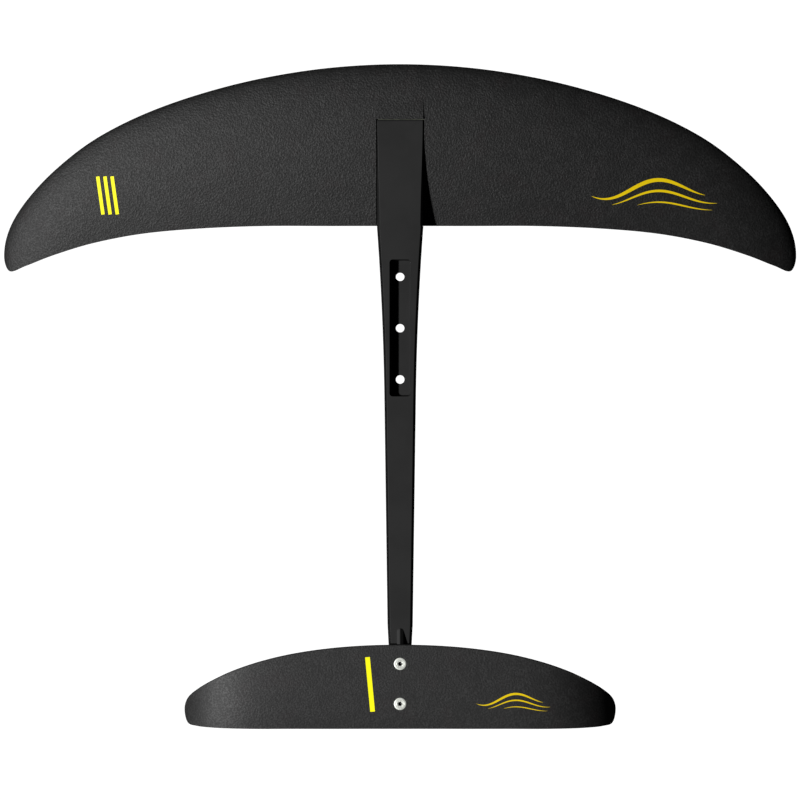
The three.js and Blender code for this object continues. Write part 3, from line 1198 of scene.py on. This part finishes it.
@dataclass
class Screw:
    """Countersunk M6 screw with a six-lobed socket, on the frame's screw node."""

    node: str
    facing: Facing
    passes_through: bool = False
    head: float = 6.0 * MM
    head_depth: float = 3.3 * MM
    shank: float = 3.0 * MM
    lobe: float = 2.05 * MM
    lobe_depth: float = 0.34 * MM
    socket_depth: float = 2.9 * MM
    pitch: float = 1.0 * MM
    steps: int = 96

    def __post_init__(self) -> None:
        """Reads the screw's place off the frame."""
        low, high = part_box(self.node)
        self.length = high.z - low.z
        self.face = high.z if self.facing is Facing.UP else low.z
        self.x, self.y = (low.x + high.x) / 2, (low.y + high.y) / 2

    def placed(self, mesh: Solid, name: str) -> Piece:
        """Stands a mesh at the screw's place, turned the way the screw faces.

        Args:
            mesh: Points and faces, with the head's face at height 0 and looking up.
            name: The piece's name.

        Returns:
            The linked object.
        """
        points, faces = mesh
        points = points * [1, self.facing.value, self.facing.value]
        return new_piece(name, points + [self.x, self.y, self.face], faces, crease=28)

    def thread(self) -> list[Span]:
        """Gives the profile of the threaded shank, as ridges.

        Returns:
            Radius and height of each point, from the head down.
        """
        start, end = -self.head_depth - 1.2 * MM, -self.length + 0.6 * MM
        root, crest = self.shank * 0.84, self.shank
        profile = [(self.shank * 0.9, -self.head_depth - 0.5 * MM)]
        for i in range(int((start - end) / self.pitch)):
            z = start - i * self.pitch
            profile += [(root, z), (crest, z - 0.45 * self.pitch), (crest, z - 0.55 * self.pitch)]
        profile += [(root, -self.length + 0.5 * MM), (self.shank * 0.6, -self.length)]
        return profile

    def socket(self) -> list[Span]:
        """Gives the socket's profile, from its floor up to the head's face.

        Returns:
            Size, as a share of the lobes' own, and height of each ring.
        """
        deep = self.socket_depth
        floor = [(0.30, -deep - 0.25 * MM), (0.62, -deep), (0.93, -deep + 0.06 * MM)]
        return [*floor, (0.97, -0.25 * MM), (1.04, -0.09 * MM), (1.12, -0.06 * MM)]

    def head_face(self) -> list[Span]:
        """Gives the head's profile: a turned groove round the socket, the face and the cone.

        Returns:
            Radius and height of each point, from the socket outwards and down.
        """
        groove = [(3.45 * MM, -0.03 * MM), (3.6 * MM, -0.11 * MM), (3.8 * MM, -0.11 * MM)]
        face = [(3.95 * MM, -0.02 * MM), (5.55 * MM, 0), (5.85 * MM, -0.09 * MM)]
        rim = [(self.head, -0.3 * MM), (self.head, -0.42 * MM)]
        return [*groove, *face, *rim, (self.shank, -self.head_depth)]

    def ring(self, r: float, z: float, lobe: float = 0.0) -> Points:
        """Gives one ring, round or six-lobed.

        Args:
            r: Its mean radius.
            z: Its height.
            lobe: How far the lobes reach out of the mean radius.

        Returns:
            The ring's points.
        """
        turn = np.linspace(0, 2 * math.pi, self.steps, endpoint=False)
        reach = r + lobe * np.cos(6 * turn)
        return np.stack([reach * np.cos(turn), reach * np.sin(turn), np.full(self.steps, z)], 1)

    def build(self, shop: Workshop) -> None:
        """Builds and dresses the screw, with painted shade in its socket: the recess gets a near-black copy
        of the steel.

        Args:
            shop: Where the piece is dressed.
        """
        rings = [self.ring(size * self.lobe, z, size * self.lobe_depth) for size, z in self.socket()]
        rings += [self.ring(r, z) for r, z in (*self.head_face(), *self.thread())]
        piece = self.placed(tube_mesh(rings), f"{self.node}_turned")
        shop.fit(piece, STAINLESS, self.node)
        # Painted shade: the socket's sunken faces get the near-black copy of the steel.
        piece.data.materials.append(shop.material(SOCKET_PAINTED_SHADE))
        for face in piece.data.polygons:
            off = math.hypot(face.center.x - self.x, face.center.y - self.y)
            sunk = (self.face - face.center.z) * self.facing.value
            if off < 1.15 * self.lobe and sunk > 0.1 * MM:
                face.material_index = 1

    def hole(self) -> Piece:
        """Makes the countersunk hole that the screw sits in, as a tool to cut with.

        Returns:
            The tool's object.
        """
        gap = 0.25 * MM
        profile = [
            (self.head + gap, 4 * MM),
            (self.head + gap, -0.45 * MM),
            (self.shank + gap, -self.head_depth - gap),
            (self.shank + gap, -self.length - 3 * MM),
        ]
        return self.placed(turned_mesh(profile), "hole_tool")


# ---------------------------------------------------------------- fuselage


FRONT_INSERTS = [f"front_thread_insert_{i}" for i in (1, 2, 3)]
TAIL_INSERTS = [f"stabiliser_thread_insert_{i}" for i in (1, 2)]


@dataclass
class Fuselage:
    """The machined bar: tongue, mast pocket, tapering beam and bullet-nosed rib.

    The belly's points are Y and Z in millimetres.
    """

    node: str = "fuselage"
    top: float = 9.4 * MM
    front: float = -202.1 * MM
    shoulder: float = -98.9 * MM
    tail: float = 379 * MM
    round_from: float = 362 * MM
    tongue_width: Span = (44.8 * MM, 44.3 * MM)
    tongue_floor: Span = (0.4 * MM, -6.2 * MM)
    beam_middle: float = 89.9 * MM
    beam_width_there: float = 30.1 * MM
    beam_taper: float = 0.028
    neck_from: float = -96.9 * MM
    neck_length: float = 165.5 * MM
    neck_swell: float = 9.6 * MM
    tail_from: float = 288 * MM
    tail_taper: float = 0.075
    lean_range: Span = (0.4 * MM, 2.45 * MM)
    waist: float = 0.42
    tongue_hull: float = 0.25
    beam_hull: float = 0.85
    keel_share: float = 0.14
    fillet: float = 0.15 * MM
    belly_points: tuple[Span, ...] = (
        (-98.9, -8.4), (-84, -13), (-66, -17.3), (-40, -20), (0, -20.8), (50, -20.4),
        (110, -17.9), (200, -12.6), (290, -6.8), (335, -4), (366, -1.6), (379, -0.6),
    )
    pocket_half: Span = (9.4 * MM, 65.6 * MM)
    pocket_corner: float = 2.2 * MM
    pocket_draft: float = 1.0 * MM
    hole: float = 4.2 * MM
    hole_head: float = 8.3 * MM
    hole_pitch: float = 50 * MM
    rib_ends: Span = (291.9 * MM, 306.8 * MM)
    rib_half: float = 3.1 * MM
    rib_height: float = 5.6 * MM
    finish: AnodisedFinish = ANODISING

    def belly(self, y: Points) -> Points:
        """Gives the beam's underside, smooth through the belly's points.

        Args:
            y: Positions along the beam.

        Returns:
            The height at each position.
        """
        knots = np.array(self.belly_points) * MM
        row = np.array([2 * knots[0] - knots[1], *knots, 2 * knots[-1] - knots[-2]])
        fine = np.linspace(0, 1, 400)
        return np.interp(y, curve_through(row[:, 0], fine), curve_through(row[:, 1], fine))

    def beam_width(self, y: float) -> float:
        """Gives the beam's width behind the shoulder.

        Args:
            y: Position along the beam.

        Returns:
            The full width there.
        """
        neck = max(1 - (y - self.neck_from) / self.neck_length, 0)
        narrower = self.beam_taper * (y - self.beam_middle) + self.tail_taper * max(y - self.tail_from, 0)
        return self.beam_width_there - narrower + self.neck_swell * neck**2

    def lean(self, y: float) -> float:
        """Gives how far the sides lean out below the flat top."""
        low, high = self.lean_range
        return low + (high - low) * float(smoothstep(y, self.front, self.shoulder))

    def ring(
        self, y: float, width: float, floor: float, square: float, keel: float, inset: float = 0.0
    ) -> Points:
        """Gives one section: flat top, leaning sides and a hull.

        Args:
            y: Where the section is.
            width: Its full width.
            floor: Height of its underside.
            square: How round the hull is, from near 0 for a box to 1 for an ellipse.
            keel: Half the width of its flat underside.
            inset: How far the whole outline is pulled in, for an edge's chamfer.

        Returns:
            The ring's points.
        """
        half, top, floor = width / 2 - inset, self.top - inset, floor + inset
        crown = max(half - self.lean(y), half * 0.6)
        waist = self.top - self.waist * (self.top - floor)
        turn = np.linspace(0, QUARTER, 6)
        x = [[crown - 2 * self.fillet], crown - self.fillet * (1 - np.sin(turn))]
        z = [[top], top - self.fillet * (1 - np.cos(turn))]
        fall = np.linspace(0, 1, 9)[1:]
        x.append(crown + (half - crown) * np.sin(fall * QUARTER) ** 1.3)
        z.append(top - self.fillet + (waist - top + self.fillet) * fall)
        turn = np.linspace(0, QUARTER, 16)[1:]
        x.append(keel + (half - keel) * np.maximum(np.cos(turn), 0) ** square)
        z.append(waist - (waist - floor) * np.sin(turn) ** square)
        x, z = np.concatenate(x), np.concatenate(z)
        right = np.stack([x, np.full(x.size, y), z], 1)
        return np.concatenate([right, right[::-1] * [-1, 1, 1]])

    def tongue_rings(self) -> list[Points]:
        """Gives the sections of the tongue that lies in the front wing.

        Returns:
            The rings, from its front end to the shoulder.
        """
        rings = []
        for back, inset in ((0, 0.5), (0.15, 0.15), (0.5, 0)):
            y = self.front + back * MM
            width, floor = self.tongue_width[0], self.tongue_floor[0]
            rings.append(self.ring(y, width, floor, self.tongue_hull, width / 2 - 2 * MM, inset * MM))
        for t in np.linspace(0.02, 1, 30):
            y = self.front + (self.shoulder - 0.3 * MM - self.front) * t
            width = np.interp(t, (0, 1), self.tongue_width)
            floor = np.interp(t, (0, 1), self.tongue_floor)
            rings.append(self.ring(y, width, floor, self.tongue_hull, width / 2 - 2 * MM))
        return rings

    def beam_rings(self) -> list[Points]:
        """Gives the sections of the beam, down to its rounded tail.

        Returns:
            The rings, from the shoulder to the tail.
        """
        rings = []
        for y in np.linspace(self.shoulder, self.round_from, 150):
            width = self.beam_width(y)
            rings.append(self.ring(y, width, float(self.belly(y)), self.beam_hull, width * self.keel_share))
        for turn in np.linspace(0.1, QUARTER - 0.12, 12):
            y = self.round_from + (self.tail - self.round_from) * math.sin(turn)
            shrink = math.cos(turn)
            width = self.beam_width(y) * (0.35 + 0.65 * shrink)
            floor = self.top - (self.top - float(self.belly(y))) * (0.3 + 0.7 * shrink)
            rings.append(self.ring(y, width, floor, self.beam_hull, width * self.keel_share))
        return rings

    def rib(self) -> Solid:
        """Gives the bullet-nosed rib on the tail's top, whose roof is a soft gable.

        Returns:
            The rib's points and faces.
        """
        rings = []
        sunk = 1 * MM
        for t in np.concatenate([np.linspace(0, 0.3, 14) ** 1.6, np.linspace(0.18, 1, 8)]):
            y = self.rib_ends[0] + (self.rib_ends[1] - self.rib_ends[0]) * t
            half = self.rib_half * min(0.25 + 2.2 * math.sqrt(t), 1)
            height = sunk + (0.15 + 0.85 * t) * self.rib_height
            across = np.linspace(1, -1, 24)
            roof = 0.42 * half * (np.sqrt(across**2 + 0.02) - math.sqrt(0.02))
            x = half * np.concatenate([[1], across, [-1]])
            z = np.concatenate([[0], height - roof, [0]])
            rings.append(np.stack([x, np.full(x.size, y), self.top - sunk + z], 1))
        return tube_mesh(rings)

    def pocket(self) -> Solid:
        """Gives the mast pocket's room, whose walls lean out up to its mouth.

        Returns:
            The room's points and faces, reaching past the mouth.
        """
        rings = []
        centre = [half - self.pocket_corner for half in self.pocket_half]
        for z, draft in ((0, 0), (self.top, self.pocket_draft), (self.top + 3 * MM, self.pocket_draft)):
            corner = self.pocket_corner + draft
            ring = []
            for quarter, (sx, sy) in enumerate(((1, 1), (-1, 1), (-1, -1), (1, -1))):
                turn = np.linspace(0, QUARTER, 9) + quarter * QUARTER
                x = sx * centre[0] + corner * np.cos(turn)
                y = sy * centre[1] + corner * np.sin(turn)
                ring.append(np.stack([x, y, np.full(turn.size, z)], 1))
            rings.append(np.concatenate(ring))
        return tube_mesh(rings)

    def mast_hole(self, y: float) -> Solid:
        """Gives the room of one mast screw: a through hole, countersunk from below.

        Args:
            y: Where the hole is along the bar.

        Returns:
            The room's points and faces.
        """
        floor = float(self.belly(y))
        cone = self.hole_head - self.hole
        profile = [
            (self.hole_head + 0.3 * MM, floor - 5 * MM),
            (self.hole_head + 0.3 * MM, floor + 0.5 * MM),
            (self.hole_head, floor + 0.8 * MM),
            (self.hole, floor + 0.8 * MM + cone),
            (self.hole, -0.2 * MM),
            (self.hole + 0.3 * MM, 0.1 * MM),
            (self.hole + 0.3 * MM, 2 * MM),
        ]
        points, faces = turned_mesh(profile)
        return points + [0, y, 0], faces

    def insert_hole(self, node: str, opens: Facing) -> Solid:
        """Gives the blind hole of one thread insert.

        Args:
            node: The insert's CAD node.
            opens: Which way the hole is open.

        Returns:
            The hole's points and faces.
        """
        low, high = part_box(node)
        r = (high.x - low.x) / 2 + 0.2 * MM
        bottom, top = low.z - 0.2 * MM, high.z + 0.2 * MM
        if opens is Facing.UP:
            top += 4 * MM
        else:
            bottom -= 4 * MM
        points, faces = turned_mesh([(r, bottom), (r, top)], 40)
        return points + [(low.x + high.x) / 2, (low.y + high.y) / 2, 0], faces

    def build(self, shop: Workshop) -> None:
        """Builds and dresses the bar.

        Args:
            shop: Where the piece is dressed.
        """
        bar = new_piece("fuselage_bar", *tube_mesh([*self.tongue_rings(), *self.beam_rings()]))
        combined(bar, new_piece("rib_tool", *self.rib()), "UNION")
        rooms = [self.mast_hole(step * self.hole_pitch) for step in (-1, 0, 1)]
        rooms += [self.insert_hole(node, Facing.DOWN) for node in FRONT_INSERTS]
        rooms += [self.insert_hole(node, Facing.UP) for node in TAIL_INSERTS]
        combined(bar, new_piece("pocket_tool", *self.pocket()), "DIFFERENCE")
        combined(bar, new_piece("hole_tools", *joined(rooms)), "DIFFERENCE")
        shop.fit(bar, self.finish, self.node)


# ---------------------------------------------------------------- studio


@dataclass
class Studio:
    """Pale ground far below, one key light from the side, a dim surround and the camera."""

    aim: Span = (0.14 * MM, 70.0 * MM)
    distance: float = 4.39
    lens: float = 203.0
    ground_drop: float = 3.0
    ground_size: float = 400.0
    key_strength: float = 5.2
    key_height: float = 45.3
    key_side: float = 7.7
    key_spread: float = 4.0
    glow: tuple[Span, ...] = ((0, 0.008), (0.42, 0.014), (0.48, 0.08), (0.55, 0.08), (0.64, 0.001))

    def camera(self) -> None:
        """Hangs the camera straight above, with the nose of the set at the top of the view."""
        data = bpy.data.cameras.new("camera")
        data.lens = self.lens
        data.sensor_width = 36
        data.clip_end = 500
        view = bpy.data.objects.new("camera", data)
        view.location = (*self.aim, self.distance)
        view.rotation_euler = (0, 0, math.pi)
        bpy.context.scene.collection.objects.link(view)
        bpy.context.scene.camera = view

    def key(self) -> None:
        """Sets the key light on the set's left side, a little behind it."""
        data = bpy.data.lights.new("key", "SUN")
        data.energy = self.key_strength
        data.angle = math.radians(self.key_spread)
        lamp = bpy.data.objects.new("key", data)
        lamp.rotation_euler = (0, math.radians(90 - self.key_height), math.radians(self.key_side))
        bpy.context.scene.collection.objects.link(lamp)

    def ground(self) -> None:
        """Lays the plain pale ground. It lights nothing, so the set's undersides stay calm."""
        size = self.ground_size / 2
        z = CAD_BOX[0].z - self.ground_drop
        corners = np.array([[-size, -size, z], [size, -size, z], [size, size, z], [-size, size, z]])
        mesh = bpy.data.meshes.new("ground")
        mesh.from_pydata([tuple(c) for c in corners], [], [(0, 1, 2, 3)])
        ground = bpy.data.objects.new("ground", mesh)
        bpy.context.scene.collection.objects.link(ground)
        g = Graph("pale_ground")
        tone = g.ease(g.noise(g.place, 0.8, detail=3), (0.3, 0.7))
        g.set(Base_Color=g.blend(tone, (0.93, 0.93, 0.93), (0.91, 0.91, 0.91)), Roughness=0.9)
        ground.data.materials.append(g.material)
        ground.visible_diffuse = False
        ground.visible_glossy = False

    def surround(self) -> None:
        """Makes the surround: near dark overhead, a glow at the horizon, and white to the eye.

        The glow's stops run from 0 straight below to 1 straight above.
        """
        world = bpy.data.worlds.new("surround")
        bpy.context.scene.world = world
        world.use_nodes = True
        nodes, links = world.node_tree.nodes, world.node_tree.links
        nodes.clear()
        way = nodes.new("ShaderNodeTexCoord")
        split = nodes.new("ShaderNodeSeparateXYZ")
        links.new(way.outputs["Generated"], split.inputs[0])
        ramp = nodes.new("ShaderNodeValToRGB")
        while len(ramp.color_ramp.elements) < len(self.glow):
            ramp.color_ramp.elements.new(0.5)
        for stop, (place, level) in zip(ramp.color_ramp.elements, self.glow):
            stop.position = place
            stop.color = (level, level, level, 1)
        half = nodes.new("ShaderNodeMapRange")
        half.inputs["From Min"].default_value = -1
        links.new(split.outputs["Z"], half.inputs["Value"])
        links.new(half.outputs["Result"], ramp.inputs[0])
        light = nodes.new("ShaderNodeBackground")
        links.new(ramp.outputs[0], light.inputs["Color"])
        seen = nodes.new("ShaderNodeBackground")
        seen.inputs["Color"].default_value = (1, 1, 1, 1)
        seen.inputs["Strength"].default_value = 1.0
        eye = nodes.new("ShaderNodeLightPath")
        choose = nodes.new("ShaderNodeMixShader")
        links.new(eye.outputs["Is Camera Ray"], choose.inputs[0])
        links.new(light.outputs[0], choose.inputs[1])
        links.new(seen.outputs[0], choose.inputs[2])
        out = nodes.new("ShaderNodeOutputWorld")
        links.new(choose.outputs[0], out.inputs["Surface"])

    def build(self) -> None:
        """Sets up the whole studio."""
        bpy.context.scene.view_settings.view_transform = "Standard"
        self.camera()
        self.key()
        self.ground()
        self.surround()


# ---------------------------------------------------------------- the whole set


def printed_marks(front: WingForm, tail: WingForm) -> list[BarMark | WaveMark]:
    """Lays out the marks: slanted bars on one side of each wing and waves on the other.

    Args:
        front: The front wing's form.
        tail: The stabiliser's form.

    Returns:
        The marks.
    """
    front_bars = BarMark(
        "front_bar_mark",
        front,
        centre=(286.4 * MM, -130.2 * MM),
        height=37 * MM,
        bar=3.4 * MM,
        count=3,
        pitch=7.1 * MM,
        slant=5 * MM,
    )
    front_waves = WaveMark(
        "front_wave_mark", front, centre=(-248.9 * MM, -130.7 * MM), width=124 * MM, height=36 * MM
    )
    tail_bar = BarMark(
        "stabiliser_bar_mark",
        tail,
        centre=(29.2 * MM, 345.8 * MM),
        height=53 * MM,
        bar=4.6 * MM,
        slant=5 * MM,
    )
    tail_waves = WaveMark(
        "stabiliser_wave_mark", tail, centre=(-109.9 * MM, 363.4 * MM), width=72 * MM, height=21 * MM
    )
    return [front_bars, front_waves, tail_bar, tail_waves]


def main() -> None:
    """Builds the wing set piece by piece and stands it in the studio."""
    logging.basicConfig(level=logging.INFO, format="%(name)s: %(message)s")
    shop = Workshop()
    Studio().build()
    front_screws = [Screw(f"front_wing_screw_{i}", Facing.DOWN) for i in (1, 2, 3)]
    tail_screws = [Screw(f"stabiliser_screw_{i}", Facing.UP, passes_through=True) for i in (1, 2)]
    front, stabiliser = FrontWing(), Stabiliser()
    front.build(shop, front_screws)
    stabiliser.build(shop, tail_screws)
    Fuselage().build(shop)
    for screw in (*front_screws, *tail_screws):
        screw.build(shop)
    for node in (*FRONT_INSERTS, *TAIL_INSERTS):
        shop.redress(node, STAINLESS)
    for mark in printed_marks(front.form, stabiliser.form):
        mark.build(shop)


if __name__ == "__main__":
    main()
